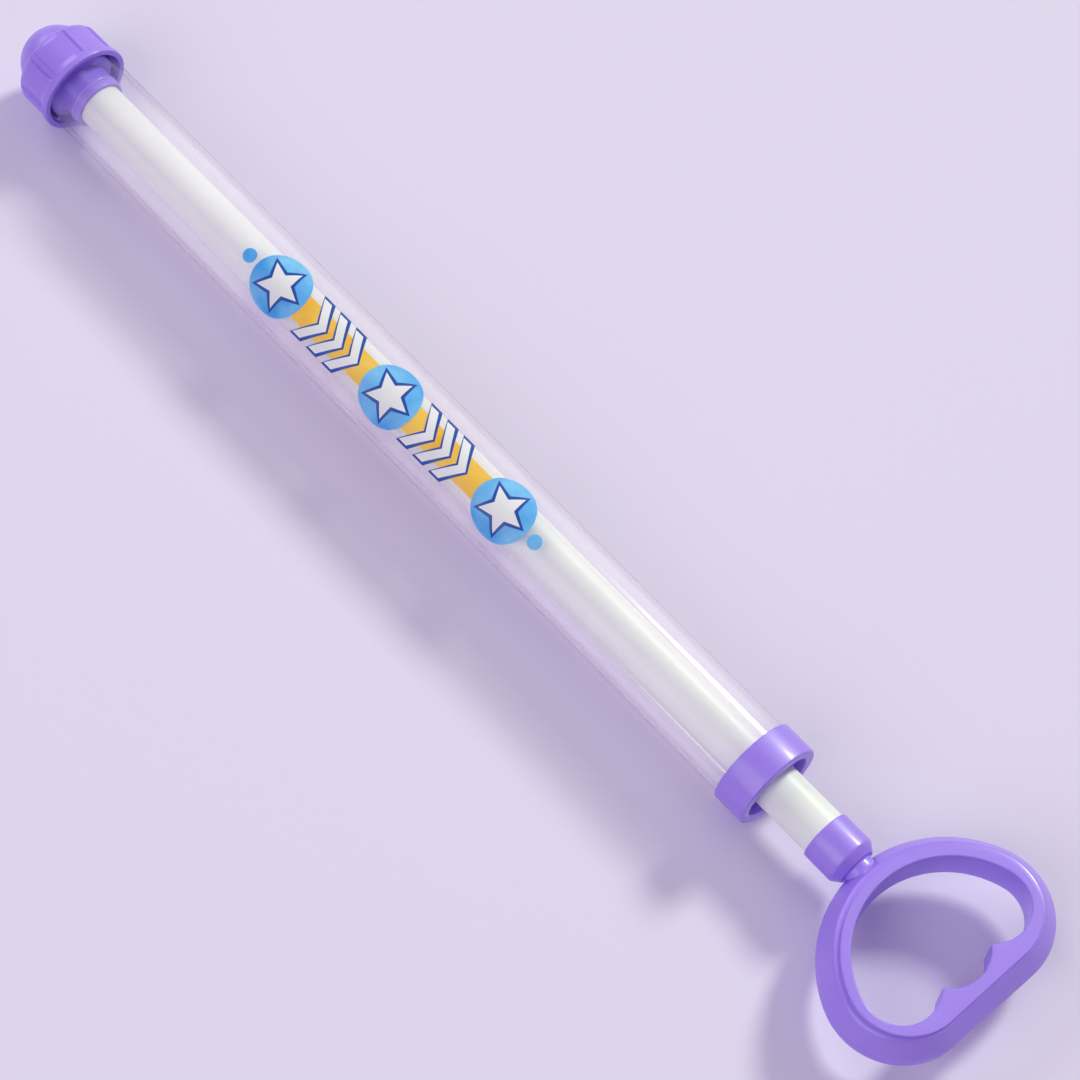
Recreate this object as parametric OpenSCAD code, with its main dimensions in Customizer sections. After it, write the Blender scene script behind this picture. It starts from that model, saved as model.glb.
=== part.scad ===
// Water squirter: a clear barrel with a screw-on nozzle cap and a pull plunger with a loop handle.
// The barrel's axis runs along X from the nozzle to the handle, and the loop lies flat.
// The origin is on the surface that the squirter rests on, below the middle of its length.

/* [Barrel] */
// Outer diameter of the clear tube
tube_od = 30; // [24:0.5:40]
// Wall of the clear tube
tube_wall = 1.5; // [1.2:0.1:2.2]
// Length of the clear tube, with the ends that the cap and the collar cover
tube_len = 358; // [200:1:500]
// Length of the turned-down neck that carries the cap's thread
neck_len = 11; // [8:0.5:12]
// How much smaller the neck's radius is than the tube's
neck_step = 0.7; // [0.4:0.1:0.8]

/* [Nozzle cap] */
// How deep the tube goes into the cap
cap_depth = 12.7; // [11:0.1:16]
// Gap between the tube's outside and the cap's bore
cap_gap = 0.3; // [0.2:0.05:0.6]
// Wall of the cap's skirt
cap_wall = 1.5; // [1.3:0.1:2.5]
// How far the rim stands out from the skirt
rim_lip = 0.6; // [0.3:0.1:1.2]
// Width of the raised rim, with its slope
rim_w = 4.2; // [3.5:0.1:6]
// Wall at the shoulder, in front of the gasket
shoulder_wall = 2.8; // [2.2:0.1:4]
// Rounding of the shoulder
shoulder_r = 4; // [3:0.1:5]
// Step in from the skirt's radius to the nose's radius
nose_step = 3.5; // [3:0.1:5]
// Height of the rounded nose above the shoulder
nose_h = 10.7; // [8:0.1:12]
// Wall of the nose
nose_wall = 2; // [1.5:0.1:3]
// Diameter of the spray hole
spray_d = 3.2; // [2:0.1:5]
// Diameter of the flat round the spray hole
spray_flat_d = 7; // [6:0.1:9]
// Number of grip flutes
flute_count = 8; // [6:1:12]
// Width of a flute
flute_w = 2.8; // [2:0.1:3.5]
// Depth of a flute
flute_depth = 0.8; // [0.4:0.1:1]
// Length of a flute, with the part that runs out on the shoulder
flute_len = 12; // [8:0.5:13]
// How far a flute runs into the rim's slope
flute_in = 0.4; // [0.2:0.1:0.8]
// Angle of the first flute from straight up
flute_turn = 7.5; // [0:0.5:45]

/* [Nozzle gasket] */
// Thickness of the gasket
gasket_t = 2; // [1:0.1:3]
// How far the gasket stands in from the tube's bore
gasket_lip = 1.5; // [0.8:0.1:2]

/* [Rear collar] */
// Wall of the collar round the tube
collar_wall = 1.15; // [1:0.05:3]
// Length of the collar
collar_len = 12.4; // [10:0.1:20]
// Thickness of the lip at the collar's rear
collar_lip = 3.1; // [2:0.1:4]
// How far the lip covers the tube's bore
lip_cover = 1.05; // [0.8:0.05:2]

/* [Rod guide] */
// Thickness of the flange that the collar traps
guide_flange = 1.4; // [1:0.1:2]
// Length of the bush inside the tube
guide_len = 7; // [5:0.5:12]
// Wall of the bush round the rod
guide_wall = 1.6; // [1.2:0.1:2]
// Number of air slots in the guide
vent_count = 4; // [3:1:6]
// Width of an air slot
vent_w = 3; // [2:0.1:4]

/* [Plunger] */
// Outer diameter of the rod
rod_od = 16.4; // [14:0.1:17]
// Wall of the rod
rod_wall = 1.3; // [1:0.1:3]
// Gap at rest between the piston's flange and the tube's front end
piston_gap = 7.7; // [5:0.1:20]
// Thickness of the piston's flange
flange_t = 3; // [2.5:0.1:5]
// Length of the socket behind the flange
socket_len = 10.5; // [9.5:0.5:16]
// Wall of the socket round the rod
socket_wall = 1.35; // [1:0.05:1.8]
// Floor of the socket
socket_floor = 2.5; // [1.5:0.1:4]
// Length of the rounded nose in front of the flange
piston_nose = 3; // [2:0.1:4]
// Length of the seal
seal_len = 6; // [4:0.1:6.5]
// Height of the bead that keeps the seal on its seat
seal_bead = 0.8; // [0.5:0.1:1]

/* [Handle boss] */
// Free length of rod between the collar and the boss, with the plunger pushed in
boss_gap = 21.1; // [5:0.1:60]
// Wall of the boss round the rod
boss_wall = 0.87; // [0.8:0.01:3]
// Depth of the rod's socket in the boss
boss_socket = 10; // [8:0.1:14]
// Length of the boss's straight part
boss_len = 11.6; // [11:0.1:20]
// Length of the boss's tapered end
boss_taper = 3.1; // [2:0.1:6]
// Radius at the small end of the taper
boss_end_r = 6.8; // [6:0.1:8]
// Radius of the neck between the boss and the loop
loop_neck_r = 5.4; // [4.5:0.1:6]

/* [Handle loop] */
// Distance between the boss's end and the loop
loop_gap = 0.1; // [0.1:0.1:3]
// Radius of the loop's outside on the boss's side
loop_r = 43.55; // [40:0.05:50]
// How far the outside's corner centres lie behind the loop's centre
corner_in = 7.25; // [6.5:0.05:8]
// Diameter of the round outer bar
bar_d = 11.4; // [10:0.1:12.4]
// How far the bar's centre lies below the barrel's axis
bar_drop = 2; // [0:0.1:2.5]
// Height of the band's top above the barrel's axis
band_up = 8.1; // [6:0.1:9]
// Depth of the band's underside below the barrel's axis
band_down = 6.5; // [5:0.1:9]
// Step from the band's top down to the flank
band_step = 1; // [0.6:0.1:2]
// How far the flank's upper edge lies inside the loop's outline
flank_in = 4.7; // [4.4:0.1:4.9]
// How far the band's edge lies inside the loop's outside, on the boss's side
band_in = 6.45; // [5.8:0.05:7]
// How far the band's corner centres lie behind the loop's centre
band_corner_in = 6.85; // [6.5:0.05:7.2]
// Width of the loop's section on the boss's side
loop_w = 9.95; // [9:0.05:11]
// How far the opening's corner centres lie behind the loop's centre
hole_corner_in = 5.88; // [5.6:0.07:6.3]
// Thickness of the grip at the ridges between the fingers
ridge_t = 14.25; // [13.5:0.05:15]
// Thickness of the grip at the middle finger
mid_grip_t = 9.15; // [8.5:0.05:10]
// Radius of the finger hollows
finger_r = 13.3; // [13:0.1:14.5]

/* [Edges] */
// Rounding of the rim's and the collar's edges
edge_round = 0.6; // [0.2:0.1:0.9]

/* [Fits] */
// Clearance of a running fit
run_gap = 0.06; // [0.02:0.01:0.1]
// Clearance of a press fit or of faces that meet
seat_gap = 0.03; // [0.02:0.01:0.05]
// Clearance round a piece that slides with room
free_gap = 0.3; // [0.2:0.05:0.5]

/* [Hidden] */
$fn = 96;
purple = [0.6, 0.48, 0.9];
clear = [0.9, 0.88, 0.96, 0.35];
white = [0.87, 0.87, 0.86];
grey = [0.7, 0.68, 0.76];

// Overlap of shapes that are joined or cut through
eps = 1;

// Radii about the barrel's axis
tube_r = tube_od / 2;
bore_r = tube_r - tube_wall;
cap_bore_r = tube_r + cap_gap;
skirt_r = cap_bore_r + cap_wall;
rim_r = skirt_r + rim_lip;
nose_r = skirt_r - nose_step;
gasket_ir = bore_r - gasket_lip;
collar_r = tube_r + seat_gap + collar_wall;
collar_hole_r = bore_r - lip_cover;
rod_r = rod_od / 2;
socket_r = rod_r + seat_gap + socket_wall;
seal_ir = socket_r + run_gap;
seal_or = bore_r - run_gap;
boss_r = rod_r + seat_gap + boss_wall;

// Places along the axis, from the cap's rim plane towards the handle
tube_front = -cap_depth;
tube_rear = tube_front + tube_len;
gasket_front = tube_front - gasket_t - seat_gap;
shoulder_front = gasket_front - seat_gap - shoulder_wall;
nose_tip = shoulder_front - nose_h;
nose_mid = nose_tip + nose_r;
cap_front = nose_mid - half_chord(nose_r, spray_flat_d / 2);
collar_rear = tube_rear + guide_flange + 2 * seat_gap + collar_lip;
flange_front = tube_front + piston_gap;
flange_rear = flange_front + flange_t;
socket_bottom = flange_front + socket_floor;
socket_rear = flange_rear + socket_len;
seal_front = flange_rear + run_gap;
seal_rear = seal_front + seal_len;
rod_front = socket_bottom + seat_gap;
boss_front = collar_rear + boss_gap;
rod_rear = boss_front + boss_socket - seat_gap;
boss_rear = boss_front + boss_len + boss_taper;
loop_mid = boss_rear + loop_gap + loop_r;

// Outlines about the centre of the loop: a large arc, two corner arcs and a straight side, all tangent
// A corner's centre lies on a whole-number triangle, so that every outline point is an exact decimal
corner = [-corner_in, corner_in * 12 / 5];
band_r = loop_r - band_in;
band_corner = [-band_corner_in, band_corner_in * 12 / 5];
hole_r = loop_r - loop_w;
hole_corner = [-hole_corner_in, hole_corner_in * 24 / 7];
corner_r = loop_r - norm(corner);
grip_x = corner.x + corner_r;
loop_far = loop_mid + grip_x;
hole_far = hole_corner.x + hole_r - norm(hole_corner);
ridge_x = grip_x - ridge_t;
bar_r = bar_d / 2;

// The flank, from the bar's centre: it runs from its upper edge to where it grazes the round bar
flank_top = [bar_r - flank_in, band_up - band_step + bar_drop];
flank_turn = atan2(flank_top.y, flank_top.x) - acos(bar_r / norm(flank_top));
flank_foot = 0.98 * bar_r * [cos(flank_turn), sin(flank_turn)];
flank_back = (loop_w - bar_r) / 2;
reach = 5;
big = 3 * loop_r;

// The part's frame: on the rest surface, below the middle of the length
rest_r = max(rim_r, collar_r);
mid_x = (cap_front + loop_far) / 2;

// Half the height of a circle's chord at a distance from its centre
function half_chord(r, d) = sqrt(r * r - d * d);

module placed() {
  translate([-mid_x, 0, rest_r])
    children();
}

// Turns a profile of radius and place along the axis about the barrel's axis
module turned() {
  rotate([0, 90, 0])
    rotate_extrude()
      children();
}

// A profile's rectangle between two radii and two places
module span(r1, r2, x1, x2) {
  translate([r1, x1])
    square([r2 - r1, x2 - x1]);
}

// A solid or bored cylinder about the axis
module ring(r1, r2, x1, x2) {
  turned()
    span(r1, r2, x1, x2);
}

// A round nose about the axis, cut at the plane where it starts
module nose_profile(r, mid, start) {
  intersection() {
    translate([0, mid])
      circle(r);
    span(0, r, mid - r, start);
  }
}

module nozzle_cap() {
  rim_flat = rim_w / 2;
  color(purple)
    placed()
      difference() {
        turned()
          difference() {
            union() {
              span(0, skirt_r, shoulder_front + shoulder_r, 0);
              span(0, skirt_r - shoulder_r, shoulder_front, 0);
              translate([skirt_r - shoulder_r, shoulder_front + shoulder_r])
                circle(shoulder_r);
              nose_profile(nose_r, nose_mid, shoulder_front + eps);
              polygon([
                [skirt_r - eps, -rim_w],
                [skirt_r, -rim_w],
                [rim_r, -rim_flat],
                [rim_r, -edge_round],
                [rim_r - edge_round, 0],
                [skirt_r - eps, 0]
              ]);
            }
            span(0, cap_bore_r, shoulder_front + shoulder_wall, eps);
            nose_profile(nose_r - nose_wall, nose_mid, shoulder_front + shoulder_wall + eps);
            span(0, spray_d / 2, nose_tip - eps, nose_mid);
            span(0, spray_flat_d / 2, nose_tip - eps, cap_front);
          }
        for (i = [0 : flute_count - 1])
          rotate([-flute_turn - i * 360 / flute_count, 0, 0])
            translate([-rim_w - flute_len, -flute_w / 2, skirt_r - flute_depth])
              cube([flute_len + flute_in, flute_w, shoulder_r]);
      }
}

module nozzle_gasket() {
  color(grey)
    placed()
      ring(gasket_ir, cap_bore_r - free_gap, gasket_front, gasket_front + gasket_t);
}

module barrel_tube() {
  color(clear)
    placed()
      turned()
        difference() {
          span(bore_r, tube_r, tube_front, tube_rear);
          span(tube_r - neck_step, tube_r + eps, tube_front - eps, tube_front + neck_len);
        }
}

module rear_collar() {
  collar_front = collar_rear - collar_len;
  color(purple)
    placed()
      turned()
        difference() {
          union() {
            span(collar_hole_r, collar_r, collar_front, collar_rear - edge_round);
            span(collar_hole_r + edge_round, collar_r - edge_round, collar_front, collar_rear);
            translate([collar_r - edge_round, collar_rear - edge_round])
              circle(edge_round);
            translate([collar_hole_r + edge_round, collar_rear - edge_round])
              circle(edge_round);
          }
          span(0, tube_r + seat_gap, collar_front - eps, collar_rear - collar_lip);
        }
}

module rod_guide() {
  bush_r = rod_r + run_gap + guide_wall;
  color(purple)
    placed()
      difference() {
        union() {
          ring(rod_r + run_gap, bush_r, tube_rear - guide_len, tube_rear + seat_gap);
          ring(bore_r - seat_gap - guide_wall, bore_r - seat_gap, tube_rear - guide_len, tube_rear + seat_gap);
          ring(rod_r + run_gap, tube_r, tube_rear + seat_gap, tube_rear + seat_gap + guide_flange);
        }
        for (i = [0 : vent_count - 1])
          rotate([i * 360 / vent_count, 0, 0])
            translate([tube_rear - guide_len, -vent_w / 2, bush_r])
              cube([guide_len + 2 * guide_flange, vent_w, bore_r - guide_wall - seat_gap - bush_r]);
      }
}

module piston_head() {
  flange_r = bore_r - free_gap;
  nose_round_r = gasket_ir - 2 * free_gap;
  color(purple)
    placed()
      turned()
        difference() {
          union() {
            span(0, flange_r, flange_front, flange_rear);
            span(0, nose_round_r - piston_nose, flange_front - piston_nose, flange_front);
            intersection() {
              translate([nose_round_r - piston_nose, flange_front])
                circle(piston_nose);
              span(0, nose_round_r, flange_front - piston_nose, flange_front + eps);
            }
            span(0, socket_r, flange_front, socket_rear);
            translate([socket_r - seal_bead / 2, seal_rear + run_gap + seal_bead])
              circle(seal_bead);
          }
          span(0, rod_r + seat_gap, socket_bottom, socket_rear + eps);
        }
}

module piston_seal() {
  lip_r = (seal_or - seal_ir) / 4;
  color(grey)
    placed()
      turned()
        difference() {
          union() {
            span(seal_ir, seal_or, seal_front, seal_rear - lip_r);
            span(seal_ir + lip_r, seal_or - lip_r, seal_front, seal_rear);
            translate([seal_ir + lip_r, seal_rear - lip_r])
              circle(lip_r);
            translate([seal_or - lip_r, seal_rear - lip_r])
              circle(lip_r);
          }
          translate([seal_or, (seal_front + seal_rear - lip_r) / 2])
            circle(lip_r);
        }
}

module plunger_rod() {
  color(white)
    placed()
      ring(rod_r - rod_wall, rod_r, rod_front, rod_rear);
}

// A point mirrored in the barrel's axis, for the far side of the loop
function flipped(p, side) = [p.x, side * p.y];

// The wedge of an outline's large arc, between the rays through its corners' centres
module large_wedge(c) {
  polygon([[0, 0], c, reach * c, [-big, big], [-big, -big], reach * flipped(c, -1), flipped(c, -1)]);
}

// The wedge of a corner arc, from the straight side to the large arc
module corner_wedge(c, side) {
  polygon([for (p = [c, [big, c.y], [big, big], reach * c]) flipped(p, side)]);
}

// A loop's outline from its large arc's radius and a corner's centre
module rounded_d(r, c) {
  rc = r - norm(c);
  intersection() {
    circle(r);
    large_wedge(c);
  }
  for (side = [1, -1])
    intersection() {
      translate(flipped(c, side))
        circle(rc);
      corner_wedge(c, side);
    }
  polygon([[0, 0], c, [c.x + rc, c.y], [c.x + rc, -c.y], flipped(c, -1)]);
}

// The loop's opening, with three finger hollows in the grip
module loop_opening() {
  side_spot = [hole_far - finger_r, hole_corner.y];
  mid_spot = [grip_x - mid_grip_t - finger_r, 0];
  difference() {
    rounded_d(hole_r, hole_corner);
    translate([ridge_x, -hole_corner.y])
      square([big, 2 * hole_corner.y]);
  }
  intersection() {
    for (spot = [side_spot, mid_spot, flipped(side_spot, -1)])
      translate(spot)
        circle(finger_r);
    translate([ridge_x, -hole_corner.y])
      square([big, 2 * hole_corner.y]);
  }
}

// The bar's section about its centre: a round with a sloping flank up to the band's step
module bar_section() {
  circle(bar_r);
  polygon([
    [-flank_back, 0],
    [-flank_back, flank_top.y],
    flank_top,
    flank_foot,
    [flank_foot.x, 0]
  ]);
}

// A full ring of the bar
module bar_ring(r) {
  rotate_extrude()
    translate([r - bar_r, 0])
      bar_section();
}

// The bar that runs along the loop's outside
module loop_bar() {
  intersection() {
    bar_ring(loop_r);
    translate([0, 0, -bar_d])
      linear_extrude(2 * bar_d)
        large_wedge(corner);
  }
  for (side = [1, -1])
    intersection() {
      translate(flipped(corner, side))
        bar_ring(corner_r);
      translate([0, 0, -bar_d])
        linear_extrude(2 * bar_d)
          corner_wedge(corner, side);
    }
  translate([grip_x - bar_r, corner.y, 0])
    rotate([90, 0, 0])
      linear_extrude(2 * corner.y)
        bar_section();
}

// The loop with its bar, its flat inner band and the neck towards the boss
module loop() {
  difference() {
    union() {
      translate([0, 0, -bar_drop])
        loop_bar();
      translate([0, 0, -band_down])
        linear_extrude(band_up + band_down)
          rounded_d(band_r, band_corner);
      ring(0, loop_neck_r, -loop_r - loop_gap - eps, -hole_r - eps);
    }
    translate([0, 0, -2 * bar_d])
      linear_extrude(4 * bar_d)
        loop_opening();
  }
}

// The boss with its tapered end and the rod's socket
module boss() {
  turned()
    difference() {
      polygon([
        [0, boss_front],
        [boss_r, boss_front],
        [boss_r, boss_front + boss_len],
        [boss_end_r, boss_rear],
        [0, boss_rear]
      ]);
      span(0, rod_r + seat_gap, boss_front - eps, boss_front + boss_socket);
    }
}

module handle() {
  color(purple)
    placed() {
      boss();
      translate([loop_mid, 0, 0])
        loop();
    }
}

nozzle_cap();
nozzle_gasket();
barrel_tube();
rear_collar();
rod_guide();
piston_head();
piston_seal();
plunger_rod();
handle();
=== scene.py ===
import math

import bmesh
import bpy
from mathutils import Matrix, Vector


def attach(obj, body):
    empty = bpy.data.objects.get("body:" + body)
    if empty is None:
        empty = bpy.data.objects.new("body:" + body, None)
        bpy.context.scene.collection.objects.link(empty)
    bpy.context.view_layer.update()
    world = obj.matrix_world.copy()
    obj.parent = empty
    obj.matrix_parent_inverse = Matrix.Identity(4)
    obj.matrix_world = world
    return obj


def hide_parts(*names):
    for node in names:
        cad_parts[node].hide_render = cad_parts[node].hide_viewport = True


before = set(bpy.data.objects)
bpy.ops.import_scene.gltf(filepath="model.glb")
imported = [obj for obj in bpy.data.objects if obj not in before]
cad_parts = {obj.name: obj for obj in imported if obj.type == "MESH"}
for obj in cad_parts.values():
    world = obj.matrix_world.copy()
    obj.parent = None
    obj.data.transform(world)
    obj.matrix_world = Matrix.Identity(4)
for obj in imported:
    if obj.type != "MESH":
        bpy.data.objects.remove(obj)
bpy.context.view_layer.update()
print("stage 1: frame loaded,", len(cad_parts), "nodes")

scene = bpy.context.scene
scene.view_settings.view_transform = "Standard"
scene.cycles.transparent_max_bounces = 24  # tube and seal lie in layers

midX = 209.4844  # frame origin, in mm from the cap's rim plane
axisZ = 17.4     # height of the barrel's axis above the rest surface, in mm
mmPerMetre = 1000


def place(x, y, z):
    # millimetres from the rim plane and the axis, to metres in the frame
    return Vector(((x - midX) / mmPerMetre, y / mmPerMetre, (z + axisZ) / mmPerMetre))


def spread(start, end, count):
    return [start + (end - start) * i / count for i in range(count + 1)]


# tools for pieces

def clearSelection():
    if bpy.context.object and bpy.context.object.mode != "OBJECT":
        bpy.ops.object.mode_set(mode="OBJECT")
    bpy.ops.object.select_all(action="DESELECT")


def finishPiece(piece, materials, body, nodes=(), smoothAngle=35):
    for material in materials:
        piece.data.materials.append(material)
    clearSelection()
    piece.select_set(True)
    bpy.context.view_layer.objects.active = piece
    bpy.ops.object.transform_apply(location=True, rotation=True, scale=True)
    bpy.ops.object.shade_smooth_by_angle(angle=math.radians(smoothAngle))
    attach(piece, body)
    if nodes:
        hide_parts(*nodes)
    piece.select_set(False)


def meshPiece(name, bm):
    bmesh.ops.recalc_face_normals(bm, faces=bm.faces[:])
    mesh = bpy.data.meshes.new(name)
    bm.to_mesh(mesh)
    bm.free()
    piece = bpy.data.objects.new(name, mesh)
    scene.collection.objects.link(piece)
    return piece


def bridgeRings(bm, one, two):
    count = len(one)
    for j in range(count):
        k = (j + 1) % count
        bm.faces.new((one[j], one[k], two[k], two[j]))


# profiles are lists of (x, r) in mm

def arcPoints(cx, cr, radius, start, end, count):
    angles = [math.radians(a) for a in spread(start, end, count)]
    return [(cx + radius * math.cos(a), cr + radius * math.sin(a)) for a in angles]


def roundCorners(corners, segments):
    # corners are (x, r, fillet)
    points = []
    count = len(corners)
    for i, (x, r, fillet) in enumerate(corners):
        here = Vector((x, r))
        if fillet == 0:
            points.append((x, r))
            continue
        before = (Vector(corners[i - 1][:2]) - here).normalized()
        after = (Vector(corners[(i + 1) % count][:2]) - here).normalized()
        half = before.angle(after) / 2
        back = fillet / math.tan(half)
        centre = here + (before + after).normalized() * (fillet / math.sin(half))
        first = here + before * back - centre
        last = here + after * back - centre
        turn = first.angle_signed(last)
        for a in spread(0, -turn, segments):
            cosA, sinA = math.cos(a), math.sin(a)
            points.append((centre.x + first.x * cosA - first.y * sinA,
                           centre.y + first.x * sinA + first.y * cosA))
    return points


spinSettings = {"steps": 160, "startR": 0.01, "weld": 2e-7}


def spinProfile(name, profile, steps=spinSettings["steps"], closed=True):
    # one edge loop, put on the profile and spun about the barrel's axis
    clearSelection()
    bpy.ops.mesh.primitive_circle_add(vertices=len(profile), radius=spinSettings["startR"],
                                      fill_type="NOTHING", location=(0, 0, 0))
    piece = bpy.context.object
    piece.name = name
    piece.data.name = name
    for vert, (x, r) in zip(piece.data.vertices, profile):
        vert.co = place(x, 0, r)
    bpy.ops.object.mode_set(mode="EDIT")
    if not closed:
        bm = bmesh.from_edit_mesh(piece.data)
        bm.verts.ensure_lookup_table()
        gap = bm.edges.get((bm.verts[0], bm.verts[-1]))
        bm.edges.remove(gap)
        bmesh.update_edit_mesh(piece.data)
    bpy.ops.mesh.select_all(action="SELECT")
    bpy.ops.mesh.spin(steps=steps, angle=math.tau, center=place(midX, 0, 0), axis=(1, 0, 0))
    bpy.ops.mesh.select_all(action="SELECT")
    bpy.ops.mesh.remove_doubles(threshold=spinSettings["weld"])
    bpy.ops.mesh.select_all(action="SELECT")
    bpy.ops.mesh.normals_make_consistent(inside=False)
    bpy.ops.object.mode_set(mode="OBJECT")
    return piece


# tools for materials

def newMaterial(name):
    material = bpy.data.materials.new(name)
    material.use_nodes = True
    tree = material.node_tree
    return material, tree, tree.nodes["Principled BSDF"]


def opaque(color):
    return color + (1,)


def noiseNode(tree, coords, scale, detail):
    noise = tree.nodes.new("ShaderNodeTexNoise")
    noise.inputs["Scale"].default_value = scale
    noise.inputs["Detail"].default_value = detail
    tree.links.new(coords.outputs["Object"], noise.inputs["Vector"])
    return noise.outputs["Fac"]


def rangeNode(tree, source, before, after, curve="LINEAR"):
    ramp = tree.nodes.new("ShaderNodeMapRange")
    ramp.interpolation_type = curve
    ramp.inputs["From Min"].default_value, ramp.inputs["From Max"].default_value = before
    ramp.inputs["To Min"].default_value, ramp.inputs["To Max"].default_value = after
    tree.links.new(source, ramp.inputs["Value"])
    return ramp.outputs["Result"]


def colorNode(tree, source, first, last):
    # each end is (position, color)
    ramp = tree.nodes.new("ShaderNodeValToRGB")
    for element, (position, color) in zip(ramp.color_ramp.elements, (first, last)):
        element.position = position
        element.color = opaque(color)
    tree.links.new(source, ramp.inputs["Fac"])
    return ramp.outputs["Color"]


def mathNode(tree, operation, first, second):
    node = tree.nodes.new("ShaderNodeMath")
    node.operation = operation
    tree.links.new(first, node.inputs[0])
    if isinstance(second, (int, float)):
        node.inputs[1].default_value = second
    else:
        tree.links.new(second, node.inputs[1])
    return node.outputs["Value"]


def mixNode(tree, share, first, second):
    node = tree.nodes.new("ShaderNodeMixShader")
    tree.links.new(share, node.inputs["Fac"])
    tree.links.new(first, node.inputs[1])
    tree.links.new(second, node.inputs[2])
    return node.outputs["Shader"]


# moulded plastic and ink

mouldLook = {"toneDetail": 3, "toneEnds": (0.35, 0.65), "roughDetail": 4,
             "grainDetail": 2, "grainDepth": 0.0002}


def mouldedPlastic(name, look):
    material, tree, shader = newMaterial(name)
    coords = tree.nodes.new("ShaderNodeTexCoord")
    tone = noiseNode(tree, coords, look["toneScale"], mouldLook["toneDetail"])
    low, high = mouldLook["toneEnds"]
    color = colorNode(tree, tone, (low, look["dark"]), (high, look["light"]))
    tree.links.new(color, shader.inputs["Base Color"])
    rough = noiseNode(tree, coords, look["roughScale"], mouldLook["roughDetail"])
    tree.links.new(rangeNode(tree, rough, (0, 1), look["roughness"]), shader.inputs["Roughness"])
    bump = tree.nodes.new("ShaderNodeBump")
    bump.inputs["Strength"].default_value = look["grain"]
    bump.inputs["Distance"].default_value = mouldLook["grainDepth"]
    grain = noiseNode(tree, coords, look["grainScale"], mouldLook["grainDetail"])
    tree.links.new(grain, bump.inputs["Height"])
    tree.links.new(bump.outputs["Normal"], shader.inputs["Normal"])
    shader.inputs["IOR"].default_value = look["ior"]
    shader.inputs["Specular IOR Level"].default_value = look["shine"]
    shader.inputs["Coat Weight"].default_value = look["coat"]
    shader.inputs["Coat Roughness"].default_value = look["coatRough"]
    shader.inputs["Subsurface Weight"].default_value = look["subsurface"]
    shader.inputs["Subsurface Radius"].default_value = look["radius"]
    shader.inputs["Subsurface Scale"].default_value = look["depth"]
    return material


purpleLook = {"dark": (0.318, 0.181, 0.815), "light": (0.333, 0.193, 0.835), "roughness": (0.42, 0.48),
              "toneScale": 60, "roughScale": 220, "grainScale": 1500, "grain": 0.006,
              "ior": 1.48, "shine": 1.0, "coat": 0.35, "coatRough": 0.15,
              "subsurface": 0.12, "radius": (0.5, 0.4, 1.2), "depth": 0.001}
purple = mouldedPlastic("purplePlastic", purpleLook)

whiteLook = {"dark": (0.845, 0.86, 0.83), "light": (0.87, 0.885, 0.86), "roughness": (0.38, 0.46),
             "toneScale": 50, "roughScale": 200, "grainScale": 1200, "grain": 0.008,
             "ior": 1.46, "shine": 0.4, "coat": 0.0, "coatRough": 0.2,
             "subsurface": 0.04, "radius": (1.0, 1.0, 1.0), "depth": 0.001}
white = mouldedPlastic("whitePlastic", whiteLook)

inkLook = {"roughness": (0.28, 0.36), "toneScale": 70, "roughScale": 200, "grainScale": 1400, "grain": 0.02,
           "ior": 1.48, "shine": 0.5, "coat": 0.0, "coatRough": 0.2,
           "subsurface": 0.0, "radius": (1.0, 1.0, 1.0), "depth": 0.001}
inkColors = {"skyInk": {"dark": (0.05, 0.34, 0.80), "light": (0.22, 0.58, 0.92)},
             "deepInk": {"dark": (0.010, 0.062, 0.34), "light": (0.014, 0.078, 0.40)},
             "sunInk": {"dark": (0.90, 0.47, 0.035), "light": (0.97, 0.62, 0.10)},
             "whiteInk": {"dark": (0.81, 0.81, 0.82), "light": (0.86, 0.86, 0.87)}}
inks = [mouldedPlastic(name, {**inkLook, **colors}) for name, colors in inkColors.items()]
inkIndex = {name: i for i, name in enumerate(inkColors)}


# clear plastic and seal rubber

paneLook = {"edgeBlend": 0.5, "roughScale": 120, "roughDetail": 3,
            "rimVeil": 0.4, "frontVeil": 0.12, "veilRough": 0.5}


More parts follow.
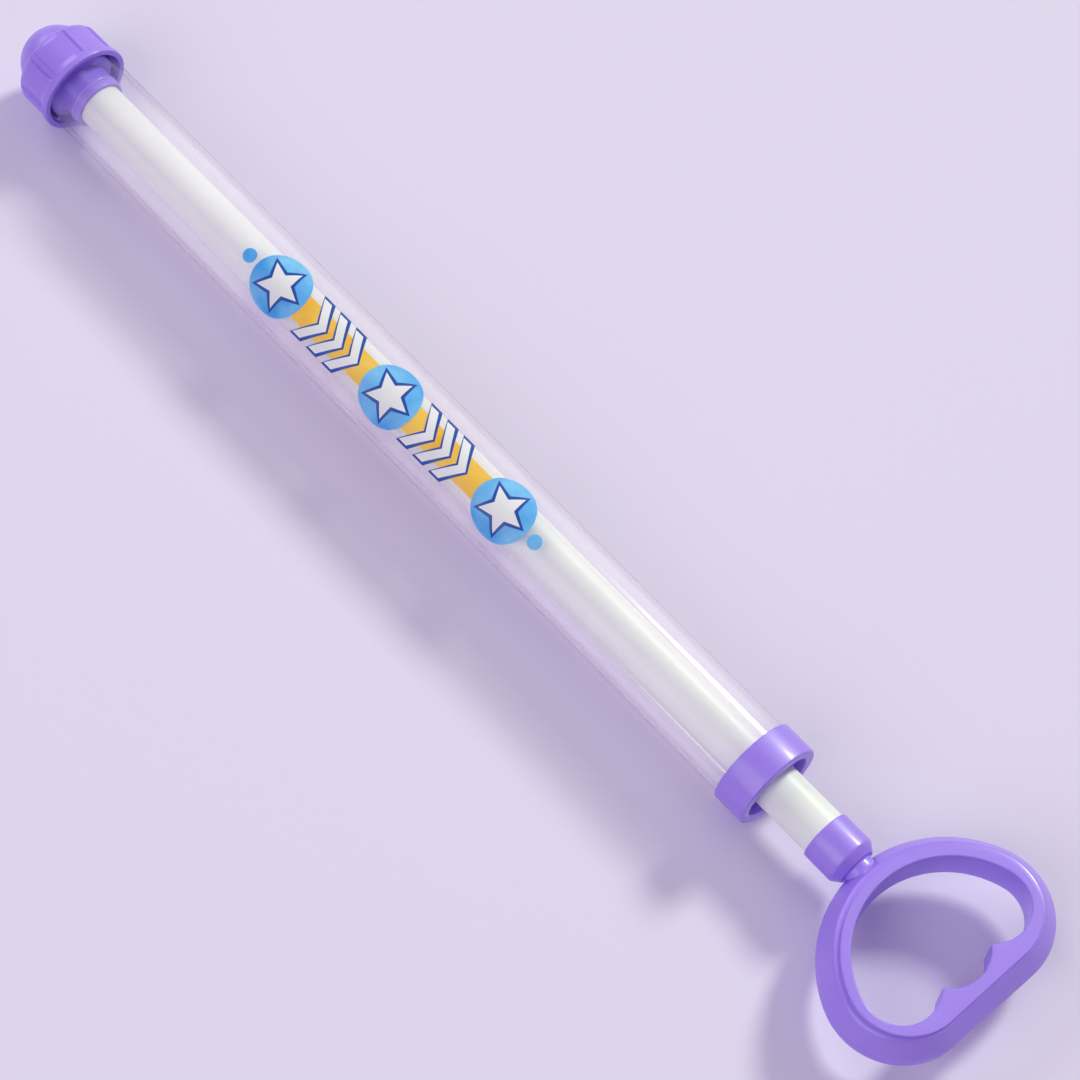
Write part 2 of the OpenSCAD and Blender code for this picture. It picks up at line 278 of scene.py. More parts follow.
def clearPlastic(name, look):
    # see-through wall with a shine that grows towards the edges, and a faint white veil
    material, tree, shader = newMaterial(name)
    coords = tree.nodes.new("ShaderNodeTexCoord")
    edge = tree.nodes.new("ShaderNodeLayerWeight")
    edge.inputs["Blend"].default_value = paneLook["edgeBlend"]
    facing = edge.outputs["Facing"]
    through = tree.nodes.new("ShaderNodeBsdfTransparent")
    tint = colorNode(tree, facing, (look["edgeFrom"], look["tint"]), (1, look["edgeTint"]))
    tree.links.new(tint, through.inputs["Color"])
    gloss = tree.nodes.new("ShaderNodeBsdfGlossy")
    rough = noiseNode(tree, coords, paneLook["roughScale"], paneLook["roughDetail"])
    tree.links.new(rangeNode(tree, rough, (0, 1), look["roughness"]), gloss.inputs["Roughness"])
    power = mathNode(tree, "POWER", facing, look["shinePower"])
    shine = rangeNode(tree, power, (0, 1), look["shine"])
    pane = mixNode(tree, shine, through.outputs["BSDF"], gloss.outputs["BSDF"])
    # the veil is weaker at the very edge and near the cap
    veil = rangeNode(tree, facing, look["veilFrom"], look["veil"], "SMOOTHSTEP")
    rim = rangeNode(tree, facing, look["veilEnd"], (1, paneLook["rimVeil"]), "SMOOTHSTEP")
    axes = tree.nodes.new("ShaderNodeSeparateXYZ")
    tree.links.new(coords.outputs["Object"], axes.inputs["Vector"])
    reach = [place(x, 0, 0).x for x in look["veilAlong"]]
    along = rangeNode(tree, axes.outputs["X"], reach, (paneLook["frontVeil"], 1), "SMOOTHSTEP")
    share = mathNode(tree, "MULTIPLY", mathNode(tree, "MULTIPLY", veil, rim), along)
    shader.inputs["Base Color"].default_value = opaque(look["veilColor"])
    shader.inputs["Roughness"].default_value = paneLook["veilRough"]
    shader.inputs["Specular IOR Level"].default_value = 0
    glow = tree.nodes.new("ShaderNodeBsdfTranslucent")
    glow.inputs["Color"].default_value = opaque(look["glowColor"])
    both = tree.nodes.new("ShaderNodeAddShader")
    tree.links.new(shader.outputs["BSDF"], both.inputs[0])
    tree.links.new(glow.outputs["BSDF"], both.inputs[1])
    whole = mixNode(tree, share, pane, both.outputs["Shader"])
    tree.links.new(whole, tree.nodes["Material Output"].inputs["Surface"])
    return material


clearLook = {"tint": (0.99, 0.985, 0.995), "edgeTint": (0.88, 0.84, 0.92), "edgeFrom": 0.55,
             "roughness": (0.14, 0.16), "shinePower": 4, "shine": (0.034, 0.3),
             "veil": (0.01, 0.28), "veilFrom": (0.05, 0.34), "veilEnd": (0.42, 0.8), "veilAlong": (5.0, 42.0),
             "veilColor": (0.28, 0.265, 0.288), "glowColor": (0.78, 0.745, 0.80)}
clear = clearPlastic("clearPlastic", clearLook)

sealLook = {"tint": (0.955, 0.93, 1.0), "edgeTint": (0.84, 0.78, 0.97), "edgeFrom": 0.7,
            "roughness": (0.14, 0.2), "shinePower": 4, "shine": (0.012, 0.16),
            "veil": (0.003, 0.07), "veilFrom": (0.3, 0.9), "veilEnd": (0.95, 1.0), "veilAlong": (-30.0, -20.0),
            "veilColor": (0.64, 0.56, 0.84), "glowColor": (0.2, 0.2, 0.22)}
sealRubber = clearPlastic("sealRubber", sealLook)
print("stage 2: materials")


# nozzle cap: spun shell with flutes pressed in

capSize = {"front": -27.7912, "holeR": 1.6, "flatR": 3.5, "noseX": -14.96, "noseR": 13.3, "noseIn": 11.3,
           "shoulderX": -17.56, "shoulderR": 4.0, "skirtR": 16.8, "rimR": 17.4, "rimW": 4.2, "boreR": 15.3,
           "seatX": -14.76, "crease": 1.2, "steps": 576, "smoothAngle": 40,
           "holeEdge": 0.3, "holeMid": 0.09, "flatIn": 0.2, "flatTurn": 0.6,
           "noseSteps": 24, "creaseSteps": 8, "shoulderSteps": 22, "skirtSteps": 8, "innerSteps": 14,
           "slopeIn": 0.5, "slopeFoot": 0.6, "slopeTop": 1.2, "rimEdge": 0.5, "boreEdge": 0.25, "seatEdge": 0.2,
           "edgeSteps": 9, "flutes": 8, "fluteTurn": 7.5, "fluteHalf": 1.4, "floorR": 16.0, "fluteRear": -3.8,
           "fluteSoft": 0.22}


def capProfile(s):
    noseX, noseR, crease = s["noseX"], s["noseR"], s["crease"]
    ringX, ringR = s["shoulderX"] + s["shoulderR"], s["skirtR"] - s["shoulderR"]
    gap = math.hypot(ringX - noseX, ringR)
    # a small ball that rolls in the corner between the nose's ball and the shoulder's rounding
    noseTo, ringTo = noseR + crease, s["shoulderR"] + crease
    along = (noseTo ** 2 - ringTo ** 2 + gap ** 2) / (2 * gap)
    up = math.sqrt(noseTo ** 2 - along ** 2)
    ux, ur = (ringX - noseX) / gap, ringR / gap
    midBallX, midBallR = noseX + ux * along, ur * along
    ballX, ballR = min((midBallX - ur * up, midBallR + ux * up), (midBallX + ur * up, midBallR - ux * up))
    noseEnd = math.degrees(math.atan2(ballR, ballX - noseX))
    ringStart = math.degrees(math.atan2(ballR - ringR, ballX - ringX)) % 360
    noseStart = 180 - math.degrees(math.asin(s["flatR"] / noseR)) - s["flatTurn"]
    innerEnd = 180 - math.degrees(math.asin(s["holeR"] / s["noseIn"]))
    skirtEnd = -s["rimW"] - s["slopeIn"]
    points = [(s["front"], s["holeR"] + s["holeEdge"]), (s["front"], s["flatR"] - s["flatIn"])]
    points += arcPoints(noseX, 0, noseR, noseStart, noseEnd, s["noseSteps"])
    points += arcPoints(ballX, ballR, crease, noseEnd + 180, ringStart + 180, s["creaseSteps"])[1:-1]
    points += arcPoints(ringX, ringR, s["shoulderR"], ringStart, 90, s["shoulderSteps"])
    points += [(x, s["skirtR"]) for x in spread(ringX, skirtEnd, s["skirtSteps"])[1:]]
    points += roundCorners([
        (skirtEnd, s["skirtR"], 0), (-s["rimW"], s["skirtR"], s["slopeFoot"]),
        (-s["rimW"] / 2, s["rimR"], s["slopeTop"]), (0, s["rimR"], s["rimEdge"]),
        (0, s["boreR"], s["boreEdge"]), (s["seatX"], s["boreR"], s["seatEdge"]),
        (s["seatX"], s["noseIn"], 0)], s["edgeSteps"])[1:]
    points += arcPoints(noseX, 0, s["noseIn"], 90, innerEnd, s["innerSteps"])[1:]
    points += [(s["front"] + s["holeEdge"], s["holeR"]), (s["front"] + s["holeMid"], s["holeR"] + s["holeMid"])]
    return points


def smoothStep(low, high, value):
    t = min(1, max(0, (value - low) / (high - low)))
    return t * t * (3 - 2 * t)


def pressFlutes(piece, s):
    step, soft = 360 / s["flutes"], s["fluteSoft"]
    for vert in piece.data.vertices:
        x = vert.co.x * mmPerMetre + midX
        y, z = vert.co.y * mmPerMetre, vert.co.z * mmPerMetre - axisZ
        r = math.hypot(y, z)
        angle = math.degrees(math.atan2(y, z)) - s["fluteTurn"]
        off = math.radians((angle + step / 2) % step - step / 2)
        depth = r - s["floorR"] / math.cos(off)
        side = abs(r * math.sin(off))
        weight = 1 - smoothStep(s["fluteHalf"] - soft, s["fluteHalf"] + soft, side)
        weight *= 1 - smoothStep(s["fluteRear"] - soft, s["fluteRear"] + soft, x)
        if depth <= 0 or weight == 0:
            continue
        scale = (r - depth * weight) / r
        vert.co.y = y * scale / mmPerMetre
        vert.co.z = (z * scale + axisZ) / mmPerMetre
    piece.data.update()


cap = spinProfile("nozzleCap", capProfile(capSize), capSize["steps"])
pressFlutes(cap, capSize)
finishPiece(cap, [purple], "cap", ["nozzle_cap"], capSize["smoothAngle"])

# gasket, piston and seal

gasketSize = {"front": -14.73, "rear": -12.73, "inR": 12.0, "outR": 15.0, "edge": 0.3, "edgeSteps": 5}


def gasketProfile(s):
    return roundCorners([
        (s["front"], s["inR"], s["edge"]), (s["front"], s["outR"], s["edge"]),
        (s["rear"], s["outR"], s["edge"]), (s["rear"], s["inR"], s["edge"])], s["edgeSteps"])


gasket = spinProfile("nozzleGasket", gasketProfile(gasketSize))
finishPiece(gasket, [sealRubber], "gasket", ["nozzle_gasket"])

pistonSize = {"nose": -8.0, "noseR": 11.4, "noseRound": 3.0, "flange": -5.0, "flangeR": 13.2, "flangeEnd": -2.0,
              "socketR": 9.58, "socketEnd": 8.5, "beadX": 4.92, "beadMid": 9.18, "beadR": 0.8, "afterBead": 1,
              "holeR": 8.23, "holeEnd": -2.5, "edge": 0.35, "footEdge": 0.15, "edgeSteps": 5, "arcSteps": 12}


def pistonProfile(s):
    rise = math.degrees(math.asin((s["socketR"] - s["beadMid"]) / s["beadR"]))
    points = [(s["nose"], 0)]
    points += arcPoints(s["flange"], s["noseR"] - s["noseRound"], s["noseRound"], 180, 90, s["arcSteps"])
    points += roundCorners([
        (s["flange"], s["noseR"], 0), (s["flange"], s["flangeR"], s["edge"]),
        (s["flangeEnd"], s["flangeR"], s["edge"]), (s["flangeEnd"], s["socketR"], s["footEdge"]),
        (0, s["socketR"], 0)], s["edgeSteps"])[1:]
    points += arcPoints(s["beadX"], s["beadMid"], s["beadR"], 180 - rise, rise, s["arcSteps"])
    points += roundCorners([
        (s["beadX"] + s["afterBead"], s["socketR"], 0), (s["socketEnd"], s["socketR"], s["edge"]),
        (s["socketEnd"], s["holeR"], s["edge"]), (s["holeEnd"], s["holeR"], 0),
        (s["holeEnd"], 0, 0)], s["edgeSteps"])
    return points


piston = spinProfile("pistonHead", pistonProfile(pistonSize), closed=False)
finishPiece(piston, [purple], "plunger", ["piston_head"])

sealSize = {"front": -1.94, "rear": 4.06, "inR": 9.64, "outR": 13.44, "lip": 0.95, "grooveX": 0.585,
            "frontEdge": 0.25, "rearEdge": 0.94, "frontSteps": 5, "rearSteps": 8, "grooveSteps": 14}


def sealProfile(s):
    front = roundCorners([
        (s["front"], s["inR"], s["frontEdge"]), (s["front"], s["outR"], s["frontEdge"]),
        (s["grooveX"] - s["lip"], s["outR"], 0)], s["frontSteps"])[:-1]
    groove = arcPoints(s["grooveX"], s["outR"], s["lip"], 180, 360, s["grooveSteps"])
    rear = roundCorners([
        (s["grooveX"] + s["lip"], s["outR"], 0), (s["rear"], s["outR"], s["rearEdge"]),
        (s["rear"], s["inR"], s["rearEdge"]), (s["front"], s["inR"], 0)], s["rearSteps"])[1:-1]
    return front + groove + rear


seal = spinProfile("pistonSeal", sealProfile(sealSize))
finishPiece(seal, [sealRubber], "seal", ["piston_seal"])

# rod, collar and guide

rodSize = {"front": -2.47, "rear": 380.93, "outR": 8.2, "inR": 6.9, "edge": 0.3, "edgeSteps": 4}


def rodProfile(s):
    return roundCorners([
        (s["front"], s["inR"], 0), (s["front"], s["outR"], s["edge"]),
        (s["rear"], s["outR"], s["edge"]), (s["rear"], s["inR"], 0)], s["edgeSteps"])


rod = spinProfile("plungerRod", rodProfile(rodSize))
finishPiece(rod, [white], "plunger", ["plunger_rod"])

collarSize = {"front": 337.46, "rear": 349.86, "outR": 16.18, "holeR": 12.45, "seatR": 15.03, "lipX": 346.76,
              "frontEdge": 0.3, "rearEdge": 0.75, "holeEdge": 0.6, "innerEdge": 0.1, "edgeSteps": 8, "steps": 240}


def collarProfile(s):
    return roundCorners([
        (s["front"], s["seatR"], s["innerEdge"]), (s["front"], s["outR"], s["frontEdge"]),
        (s["rear"], s["outR"], s["rearEdge"]), (s["rear"], s["holeR"], s["holeEdge"]),
        (s["lipX"], s["holeR"], s["innerEdge"]), (s["lipX"], s["seatR"], 0)], s["edgeSteps"])


collar = spinProfile("rearCollar", collarProfile(collarSize), collarSize["steps"])
finishPiece(collar, [purple], "barrel", ["rear_collar"])

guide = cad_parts["rod_guide"]  # keeps its CAD mesh
guide.data.materials.clear()
guide.data.materials.append(purple)
print("stage 3: cap, piston, rod and collar")

# barrel tube with its screw neck

tubeSize = {"front": -12.7, "rear": 345.3, "outR": 15.0, "inR": 13.5, "neckR": 14.3, "neckEnd": -1.7,
            "edge": 0.3, "edgeSteps": 4, "steps": 192}


def tubeProfile(s):
    return roundCorners([
        (s["front"], s["inR"], s["edge"]), (s["front"], s["neckR"], s["edge"]),
        (s["neckEnd"], s["neckR"], 0), (s["neckEnd"], s["outR"], s["edge"]),
        (s["rear"], s["outR"], s["edge"]), (s["rear"], s["inR"], s["edge"])], s["edgeSteps"])


tube = spinProfile("barrelTube", tubeProfile(tubeSize), tubeSize["steps"])
finishPiece(tube, [clear], "barrel", ["barrel_tube"])

threadSize = {"lead": 4.0, "turns": 1.7, "tubeStart": -11.2, "tubeRoot": 14.25, "tubeCrest": 14.82,
              "capStart": -9.2, "capRoot": 15.35, "capCrest": 14.78, "halfRoot": 0.75, "halfCrest": 0.3,
              "perTurn": 72, "runOut": 0.1, "leastRise": 0.02}


def threadRidge(name, start, root, crest, s):
    # a right-hand ridge that sinks into its wall at both ends
    bm = bmesh.new()
    rings = []
    for turn in spread(0, s["turns"], int(s["turns"] * s["perTurn"])):
        rise = min(1, min(turn, s["turns"] - turn) / s["runOut"])
        top = root + (crest - root) * max(s["leastRise"], rise)
        section = ((-s["halfRoot"], root), (-s["halfCrest"], top), (s["halfCrest"], top), (s["halfRoot"], root))
        a, x = math.tau * turn, start + s["lead"] * turn
        rings.append([bm.verts.new(place(x + dx, r * math.cos(a), r * math.sin(a))) for dx, r in section])
    for one, two in zip(rings, rings[1:]):
        bridgeRings(bm, one, two)
    bm.faces.new(rings[0])
    bm.faces.new(rings[-1])
    return meshPiece(name, bm)


tubeThread = threadRidge("tubeThread", threadSize["tubeStart"], threadSize["tubeRoot"], threadSize["tubeCrest"],
                         threadSize)
finishPiece(tubeThread, [clear], "barrel")
capThread = threadRidge("capThread", threadSize["capStart"], threadSize["capRoot"], threadSize["capCrest"],
                        threadSize)
finishPiece(capThread, [purple], "cap")
print("stage 4: barrel and threads")

# handle: one section drawn along the loop, then joined with the turned boss

# an outline is (radius of the large arc, how far the corners' centres lie back, and aside)
handleSize = {"loopX": 429.31, "outer": (43.55, 7.25, 17.4), "band": (37.1, 6.85, 16.44),
              "opening": (33.6, 5.88, 20.16), "barR": 5.7, "barZ": -2.0, "top": 8.1, "bottom": -6.5,
              "grip": 17.45, "fingerR": 13.3, "ridgeT": 14.25, "midT": 9.15, "ridgeSoft": 0.3,
              "softTaps": 13, "slopeStep": 0.05,
              "ledge": 7.1, "flankU": 1.0, "flankSoft": 2.4, "flankSlack": 0.02, "lowSlack": 0.05,
              "topEdge": 0.4, "bandEdge": 0.22, "foot": 0.18, "lowEdge": 0.5, "counts": (150, 64, 150),
              "edgeSteps": 5, "flatSteps": 6, "stepSteps": 3, "footSteps": 4, "flankSteps": 8, "barSteps": 36,
              "smoothAngle": 30}


def outlinePoints(outline, counts):
    # points and outward normals: large arc, corner, straight side, corner
    radius, inX, inY = outline
    big, corner, side = counts
    cornerR = radius - math.hypot(inX, inY)
    meet = math.atan2(inY, -inX)

    def arc(centreX, centreY, r, angles):
        return [(centreX + r * math.cos(a), centreY + r * math.sin(a), math.cos(a), math.sin(a)) for a in angles]

    points = arc(0, 0, radius, spread(meet, math.tau - meet, big)[:-1])
    points += arc(-inX, -inY, cornerR, spread(-meet, 0, corner)[:-1])
    points += [(cornerR - inX, y, 1, 0) for y in spread(-inY, inY, side)[:-1]]
    points += arc(-inX, inY, cornerR, spread(0, meet, corner)[:-1])
    return points


def fingerLine(h, y):
    # depth of the grip's inner side, with two side hollows, two ridges and the middle hollow
    radius, inX, inY = h["opening"]
    fingerR, ridge = h["fingerR"], h["grip"] - h["ridgeT"]
    y = min(abs(y), inY)

    def hollow(deepest, off):
        return deepest - fingerR + math.sqrt(fingerR ** 2 - off ** 2) if off < fingerR else ridge

    sideDepth = radius - math.hypot(inX, inY) - inX
    return max(ridge, hollow(sideDepth, inY - y), hollow(h["grip"] - h["midT"], y))


def softFingerLine(h, y):
    reach = h["ridgeSoft"]
    taps = spread(y - reach, y + reach, h["softTaps"] - 1)
    return sum(fingerLine(h, tap) for tap in taps) / len(taps)


def openingPoints(h):
    points = outlinePoints(h["opening"], h["counts"])
    big, corner, side = h["counts"]
    step, first = h["slopeStep"], big + corner
    for i in range(first, first + side):
        y = points[i][1]
        slope = (softFingerLine(h, y + step) - softFingerLine(h, y - step)) / (2 * step)
        size = math.hypot(1, slope)
        points[i] = (softFingerLine(h, y), y, 1 / size, -slope / size)
    return points


def outFrom(station):
    # a point at a height, moved out along the station's normal
    x, y, normalX, normalY = station
    return lambda out, z: (x + normalX * out, y + normalY * out, z)


def loopSection(h, outer, band, hole):
    quarter = math.pi / 2
    top, bottom, barR, barZ, ledge = h["top"], h["bottom"], h["barR"], h["barZ"], h["ledge"]
    topEdge, bandEdge, foot, low = h["topEdge"], h["bandEdge"], h["foot"], h["lowEdge"]
    outX, outY, normalX, normalY = outer
    barX, barY = outX - normalX * barR, outY - normalY * barR
    fromBar = outFrom((barX, barY, normalX, normalY))
    fromBand, fromHole = outFrom(band), outFrom(hole)
    bandOff = (band[0] - barX) * normalX + (band[1] - barY) * normalY
    holeOff = (hole[0] - barX) * normalX + (hole[1] - barY) * normalY
    ring = []
    for a in spread(math.pi, quarter, h["edgeSteps"]):  # rounded inner top edge
        ring.append(fromHole(topEdge + topEdge * math.cos(a), top - topEdge + topEdge * math.sin(a)))
    start, end = Vector(fromHole(topEdge, top)), Vector(fromBand(-bandEdge, top))
    for share in spread(0, 1, h["flatSteps"])[1:-1]:  # flat band
        ring.append(start.lerp(end, share))
    for a in spread(quarter, 0, h["edgeSteps"]):  # rounded outer edge of the band
        ring.append(fromBand(bandEdge * math.cos(a) - bandEdge, top - bandEdge + bandEdge * math.sin(a)))
    wallFoot = ledge + foot
    for z in spread(top - bandEdge, wallFoot, h["stepSteps"])[1:-1]:  # step wall
        ring.append(fromBand(0, z))
    for a in spread(math.pi, 3 * quarter, h["footSteps"]):  # hollow rounding at the wall's foot
        ring.append(fromBand(foot + foot * math.cos(a), wallFoot + foot * math.sin(a)))
    # the flank: a line from the ledge's end that grazes the round bar
    flankU, flankZ = h["flankU"], ledge - barZ
    lean = math.atan2(flankZ, flankU) - math.acos(barR / math.hypot(flankU, flankZ))
    half = math.tan((quarter - lean) / 2)
    back = min(h["flankSoft"] * half, flankU - bandOff - foot - h["flankSlack"])
    soft = back / half
    for a in spread(quarter, lean, h["flankSteps"]):  # rounded top of the flank
        ring.append(fromBar(flankU - back + soft * math.cos(a), ledge - soft + soft * math.sin(a)))
    start = Vector(ring[-1])
    end = Vector(fromBar(barR * math.cos(lean), barZ + barR * math.sin(lean)))
    for share in spread(0, 1, h["flatSteps"])[1:-1]:  # flank
        ring.append(start.lerp(end, share))
    flat = -math.sqrt(barR ** 2 - (bottom - barZ) ** 2)
    barEnd = -math.acos(max(flat, holeOff + low + h["lowSlack"]) / barR)
    for a in spread(lean, barEnd, h["barSteps"]):  # round bar
        ring.append(fromBar(barR * math.cos(a), barZ + barR * math.sin(a)))
    for a in spread(-quarter, -math.pi, h["edgeSteps"]):  # rounded inner lower edge
        ring.append(fromHole(low + low * math.cos(a), bottom + low + low * math.sin(a)))
    for z in spread(bottom + low, top - topEdge, h["flatSteps"])[1:-1]:  # inner wall
        ring.append(fromHole(0, z))
    return ring


def drawLoop(name, h):
    bm = bmesh.new()
    rings = []
    outer, band = (outlinePoints(h[key], h["counts"]) for key in ("outer", "band"))
    for stations in zip(outer, band, openingPoints(h)):
        section = loopSection(h, *stations)
        rings.append([bm.verts.new(place(x + h["loopX"], y, z)) for x, y, z in section])
    for one, two in zip(rings, rings[1:] + rings[:1]):
        bridgeRings(bm, one, two)
    return meshPiece(name, bm)


bossSize = {"front": 370.96, "outR": 9.1, "straightEnd": 382.56, "coneEnd": 385.66, "coneR": 6.8,
            "neckR": 5.4, "neckEnd": 394.6, "flareX": 388.6, "flareR": 7.6, "socketR": 8.23, "socketEnd": 380.96,
            "socketEdge": 0.2, "frontEdge": 0.35, "coneStart": 2.0, "coneEdge": 0.5, "neckFoot": 0.7,
            "flareRound": 3.0, "edgeSteps": 7}


def bossProfile(s):
    return roundCorners([
        (s["front"], s["socketR"], s["socketEdge"]), (s["front"], s["outR"], s["frontEdge"]),
        (s["straightEnd"], s["outR"], s["coneStart"]), (s["coneEnd"], s["coneR"], s["coneEdge"]),
        (s["coneEnd"], s["neckR"], s["neckFoot"]), (s["flareX"], s["neckR"], s["flareRound"]),
        (s["neckEnd"], s["flareR"], 0), (s["neckEnd"], 0, 0),
        (s["socketEnd"], 0, 0), (s["socketEnd"], s["socketR"], 0)], s["edgeSteps"])


def joinPieces(base, other):
    clearSelection()
    bpy.context.view_layer.objects.active = base
    base.select_set(True)
    join = base.modifiers.new("join", "BOOLEAN")
    join.operation = "UNION"
    join.solver = "EXACT"
    join.object = other
    bpy.ops.object.modifier_apply(modifier="join")
    bpy.data.objects.remove(other)
    base.data.materials.clear()


handle = drawLoop("handle", handleSize)
joinPieces(handle, spinProfile("handleBoss", bossProfile(bossSize)))
finishPiece(handle, [purple], "plunger", ["handle"], handleSize["smoothAngle"])
print("stage 5: handle,", len(handle.data.polygons), "faces")

# print on the barrel: discs with stars, joined by a striped band

printSize = {"radius": 15.005, "film": 0.02, "layer": 1.2, "turn": 20.4, "slice": 0.5, "weld": 1e-5,
             "centres": (112, 168, 224), "discR": 11.4, "discSteps": 72,
             "starTips": 5, "star": (8.46, 3.87), "starRim": (10.35, 5.245),
             "bandFrom": 122, "bandTo": 214, "bandHalf": 5.0, "bandSteps": 48, "bandSlack": 1e-6,
             "chevrons": (128, 136, 144, 182, 190, 198), "chevronHalf": 8.0, "chevronPoint": 6.0,
             "chevronW": 3.6, "chevronRim": 0.9, "dots": (96.5, 239.5), "dotR": 2.6, "dotSteps": 40}


def discOutline(u, radius, count):
    angles = [math.tau * i / count for i in range(count)]
    return [(u + radius * math.cos(a), radius * math.sin(a)) for a in angles]


def bandOutline(p):
    start = p["bandFrom"]
    disc = discOutline(start, p["bandHalf"], p["bandSteps"])
    return [(p["bandTo"] + u - start, v) if u > start - p["bandSlack"] else (u, v) for u, v in disc]


def starOutline(u, radii, tips):
    points = []
    for i in range(2 * tips):
        a, r = math.pi * i / tips, radii[i % 2]
        points.append((u + r * math.cos(a), r * math.sin(a)))
    return points


def chevronOutline(u, p, grow):
    half, point, width = p["chevronHalf"] + grow, p["chevronPoint"], p["chevronW"] / 2 + grow
    return [(u - width, -half), (u + width, -half), (u + width + point, 0),
            (u + width, half), (u - width, half), (u - width + point, 0)]


def addInk(bm, outline, layer, ink, p):
    # a flat outline, sliced along the barrel, given its film's thickness and wrapped round the barrel
    part = bmesh.new()
    part.faces.new([part.verts.new((u, v, 0)) for u, v in outline])
    low, high = min(v for u, v in outline), max(v for u, v in outline)
    for v in spread(low, high, int((high - low) / p["slice"]))[1:-1]:
        bmesh.ops.bisect_plane(part, geom=part.verts[:] + part.edges[:] + part.faces[:], dist=p["weld"],
                               plane_co=(0, v, 0), plane_no=(0, 1, 0))
    bmesh.ops.triangulate(part, faces=part.faces[:])
    for item in bmesh.ops.extrude_face_region(part, geom=part.faces[:])["geom"]:
        if isinstance(item, bmesh.types.BMVert):
            item.co.z = 1
    bmesh.ops.recalc_face_normals(part, faces=part.faces[:])
    wrapped = {}
    for vert in part.verts:
        r = p["radius"] + p["film"] * (p["layer"] * layer + vert.co.z)
        a = vert.co.y / p["radius"] - math.radians(p["turn"])
        wrapped[vert] = bm.verts.new(place(vert.co.x, r * math.sin(a), r * math.cos(a)))
    for face in part.faces:
        bm.faces.new([wrapped[vert] for vert in face.verts]).material_index = inkIndex[ink]
    part.free()


def drawPrint(name, p):
    bm = bmesh.new()
    addInk(bm, bandOutline(p), 0, "sunInk", p)
    for u in p["chevrons"]:
        addInk(bm, chevronOutline(u, p, p["chevronRim"]), 1, "deepInk", p)
        addInk(bm, chevronOutline(u, p, 0), 2, "whiteInk", p)
    for u in p["centres"]:
        addInk(bm, discOutline(u, p["discR"], p["discSteps"]), 3, "skyInk", p)
        addInk(bm, starOutline(u, p["starRim"], p["starTips"]), 4, "deepInk", p)
        addInk(bm, starOutline(u, p["star"], p["starTips"]), 5, "whiteInk", p)
    for u in p["dots"]:
        addInk(bm, discOutline(u, p["dotR"], p["dotSteps"]), 0, "skyInk", p)
    return meshPiece(name, bm)


barrelPrint = drawPrint("barrelPrint", printSize)
finishPiece(barrelPrint, inks, "barrel")
print("stage 6: print,", len(barrelPrint.data.polygons), "faces")

# floor and backdrop

floorLook = {"size": 6.0, "color": (0.76, 0.69, 0.855), "roughness": 0.9, "shine": 0.1}
clearSelection()
bpy.ops.mesh.primitive_plane_add(size=floorLook["size"], location=(0, 0, 0))
floor = bpy.context.object
floor.name = "floor"
floorMaterial, _, floorShader = newMaterial("floorPaint")
floorShader.inputs["Base Color"].default_value = opaque(floorLook["color"])
floorShader.inputs["Roughness"].default_value = floorLook["roughness"]
floorShader.inputs["Specular IOR Level"].default_value = floorLook["shine"]
floor.data.materials.append(floorMaterial)

skyLook = {"color": (1.17, 1.0, 1.43), "strength": 0.215, "backdrop": (0.76, 0.69, 0.855), "glossShare": 0.4}


def studioWorld(name, look):
    world = bpy.data.worlds.new(name)
    world.use_nodes = True
    tree = world.node_tree
    sky = tree.nodes["Background"]
    sky.inputs["Color"].default_value = opaque(look["color"])
    sky.inputs["Strength"].default_value = look["strength"]
    # what the camera and reflections see, in place of the light itself
    shown = tree.nodes.new("ShaderNodeBackground")
    shown.inputs["Color"].default_value = opaque(look["backdrop"])
    rays = tree.nodes.new("ShaderNodeLightPath")
    gloss = mathNode(tree, "MULTIPLY", rays.outputs["Is Glossy Ray"], look["glossShare"])
    seen = mathNode(tree, "MAXIMUM", rays.outputs["Is Camera Ray"], gloss)
    both = mixNode(tree, seen, sky.outputs["Background"], shown.outputs["Background"])
    tree.links.new(both, tree.nodes["World Output"].inputs["Surface"])
    return world


scene.world = studioWorld("studio", skyLook)

# lights and camera

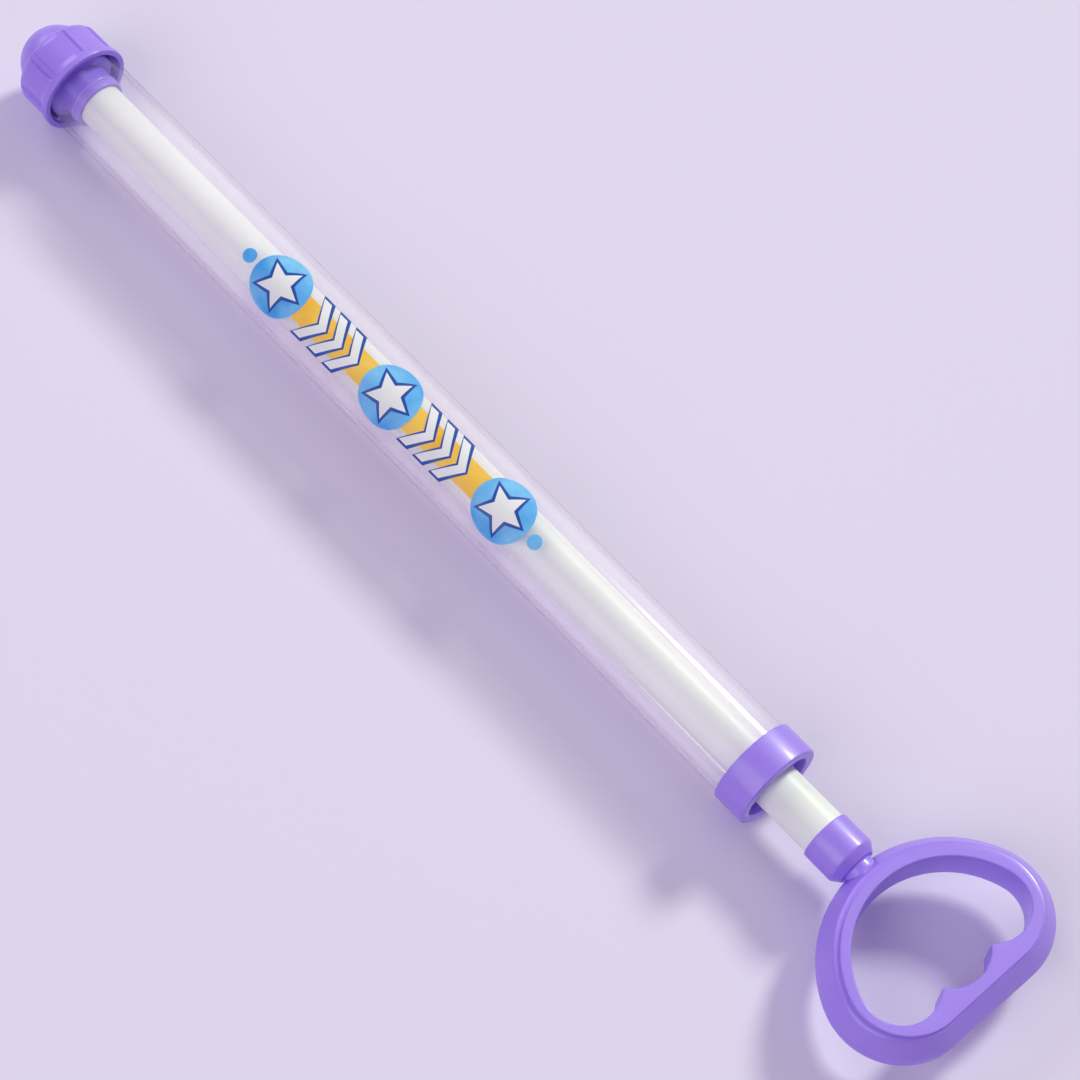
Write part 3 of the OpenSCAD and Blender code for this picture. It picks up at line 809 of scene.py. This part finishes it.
plainWhite = (1.0, 1.0, 1.0)
lightLooks = {"keyLight": {"azimuth": 93.75, "elevation": 36.0, "distance": 8.0, "size": 1.6,
                           "power": 452.0, "color": (0.90, 1.0, 0.78)},
              "topLight": {"azimuth": 110.0, "elevation": 66.0, "distance": 6.0, "size": 1.9,
                           "power": 9.0, "color": plainWhite},
              "sideLight": {"azimuth": 175.0, "elevation": 35.0, "distance": 6.0, "size": 3.0,
                            "power": 68.0, "color": plainWhite},
              "frontLight": {"azimuth": -72.0, "elevation": 64.0, "distance": 6.0, "size": 3.0,
                             "power": 12.0, "color": plainWhite},
              "fillLight": {"azimuth": -90.0, "elevation": 38.0, "distance": 6.0, "size": 5.0,
                            "power": 128.0, "color": plainWhite}}


def softBox(name, look):
    light = bpy.data.lights.new(name, "AREA")
    light.shape = "DISK"
    light.size = look["size"]
    light.energy = look["power"]
    light.color = look["color"]
    lamp = bpy.data.objects.new(name, light)
    scene.collection.objects.link(lamp)
    az, el = math.radians(look["azimuth"]), math.radians(look["elevation"])
    towards = Vector((math.cos(az) * math.cos(el), math.sin(az) * math.cos(el), math.sin(el)))
    lamp.location = towards * look["distance"]
    lamp.rotation_euler = (-towards).to_track_quat("-Z", "Y").to_euler()


for lightName, lightLook in lightLooks.items():
    softBox(lightName, lightLook)

# focal length and width in pixels of the photo
cameraLook = {"azimuth": 42.532, "elevation": 63.052, "roll": 5.918, "focal": 3226.1, "width": 1080,
              "sensor": 36, "clipStart": 0.01, "place": (0.35009, -0.35165, 0.96117)}


def photoCamera(name, look):
    az, el, roll = (math.radians(look[key]) for key in ("azimuth", "elevation", "roll"))
    back = Vector((math.sin(az) * math.cos(el), -math.cos(az) * math.cos(el), math.sin(el)))
    side = Vector((math.cos(az), math.sin(az), 0))
    up = back.cross(side)
    right = side * math.cos(roll) + up * math.sin(roll)
    top = up * math.cos(roll) - side * math.sin(roll)
    data = bpy.data.cameras.new(name)
    data.sensor_width = look["sensor"]
    data.sensor_fit = "HORIZONTAL"
    data.lens = look["sensor"] * look["focal"] / look["width"]
    data.clip_start = look["clipStart"]
    camera = bpy.data.objects.new(name, data)
    scene.collection.objects.link(camera)
    matrix = camera.matrix_world.copy()
    for i, axis in enumerate((right, top, back, Vector(look["place"]))):
        for j in range(3):
            matrix[j][i] = axis[j]
    camera.matrix_world = matrix
    return camera


scene.camera = photoCamera("photoCamera", cameraLook)
print("stage 7: floor, lights and camera")
